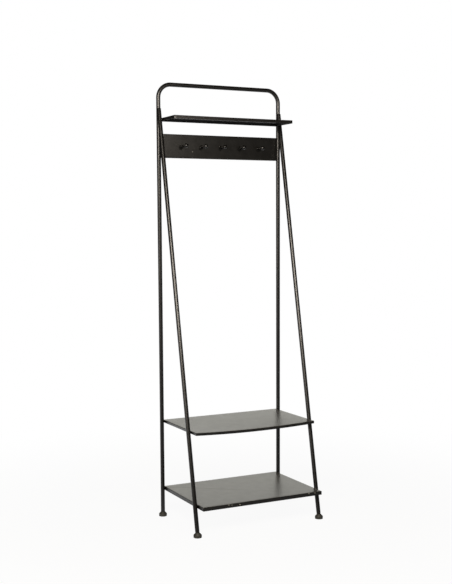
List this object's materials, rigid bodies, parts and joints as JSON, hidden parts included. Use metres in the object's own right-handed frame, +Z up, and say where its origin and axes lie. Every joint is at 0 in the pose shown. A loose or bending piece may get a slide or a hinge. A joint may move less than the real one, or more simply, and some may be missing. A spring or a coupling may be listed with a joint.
{
  "type": "valet stand",
  "caption": "Free-standing valet stand of black tube: a hoop with slanted front legs, folded sheet shelves, a hook rail with ball pegs and screw-out levelling feet.",
  "frame": {"origin": "on the floor, in the middle of the stand's width and depth", "axes": "+Z up, +X to the right of someone facing the stand's front, front towards -Y"},
  "size_m": [0.593, 0.3925, 1.8],
  "materials": {
    "black_powder_coat": "satin black powder coat",
    "zinc_steel": "zinc plated",
    "black_nylon": "moulded black nylon"
  },
  "bodies": {
    "frame": {"rear_hoop": "black_powder_coat", "front_leg_left": "black_powder_coat", "front_leg_right": "black_powder_coat", "top_shelf": "black_powder_coat", "middle_shelf": "black_powder_coat", "lower_shelf": "black_powder_coat", "hook_rail": "black_powder_coat", "hook_peg_1": "black_powder_coat", "hook_peg_2": "black_powder_coat", "hook_peg_3": "black_powder_coat", "hook_peg_4": "black_powder_coat", "hook_peg_5": "black_powder_coat", "peg_screws": "zinc_steel", "rail_screws": "zinc_steel", "top_shelf_screws": "zinc_steel", "middle_shelf_screws": "zinc_steel", "lower_shelf_screws": "zinc_steel", "hoop_rivet_nuts": "zinc_steel", "front_leg_rivet_nuts": "zinc_steel", "leg_nut_rear_left": "zinc_steel", "leg_nut_front_left": "zinc_steel", "leg_nut_rear_right": "zinc_steel", "leg_nut_front_right": "zinc_steel"},
    "foot_rear_left": {"foot_base_rear_left": "black_nylon"},
    "stud_rear_left": {"foot_stud_rear_left": "zinc_steel"},
    "foot_front_left": {"foot_base_front_left": "black_nylon"},
    "stud_front_left": {"foot_stud_front_left": "zinc_steel"},
    "foot_rear_right": {"foot_base_rear_right": "black_nylon"},
    "stud_rear_right": {"foot_stud_rear_right": "zinc_steel"},
    "foot_front_right": {"foot_base_front_right": "black_nylon"},
    "stud_front_right": {"foot_stud_front_right": "zinc_steel"}
  },
  "joints": [
    {"name": "foot_travel_rear_left", "type": "slide", "parent": "frame", "child": "foot_rear_left", "axis": [0, 0, -1], "range_m": [0, 0.01]},
    {"name": "stud_turn_rear_left", "type": "hinge", "parent": "foot_rear_left", "child": "stud_rear_left", "pos_m": [-0.28, 0.17975, 0.009], "axis": [0, 0, -1], "range_deg": [0, 2880]},
    {"name": "foot_travel_front_left", "type": "slide", "parent": "frame", "child": "foot_front_left", "axis": [0, -0.1951, -0.9808], "range_m": [0, 0.01]},
    {"name": "stud_turn_front_left", "type": "hinge", "parent": "foot_front_left", "child": "stud_front_left", "pos_m": [-0.28, -0.16025, 0.009], "axis": [0, -0.1951, -0.9808], "range_deg": [0, 2880]},
    {"name": "foot_travel_rear_right", "type": "slide", "parent": "frame", "child": "foot_rear_right", "axis": [0, 0, -1], "range_m": [0, 0.01]},
    {"name": "stud_turn_rear_right", "type": "hinge", "parent": "foot_rear_right", "child": "stud_rear_right", "pos_m": [0.28, 0.17975, 0.009], "axis": [0, 0, -1], "range_deg": [0, 2880]},
    {"name": "foot_travel_front_right", "type": "slide", "parent": "frame", "child": "foot_front_right", "axis": [0, -0.1951, -0.9808], "range_m": [0, 0.01]},
    {"name": "stud_turn_front_right", "type": "hinge", "parent": "foot_front_right", "child": "stud_front_right", "pos_m": [0.28, -0.16025, 0.009], "axis": [0, -0.1951, -0.9808], "range_deg": [0, 2880]}
  ],
  "couplings": [
    {"joint": "stud_turn_rear_left", "follows": "foot_travel_rear_left", "rad_per_m": 5026.5},
    {"joint": "stud_turn_front_left", "follows": "foot_travel_front_left", "rad_per_m": 5026.5},
    {"joint": "stud_turn_rear_right", "follows": "foot_travel_rear_right", "rad_per_m": 5026.5},
    {"joint": "stud_turn_front_right", "follows": "foot_travel_front_right", "rad_per_m": 5026.5}
  ]
}
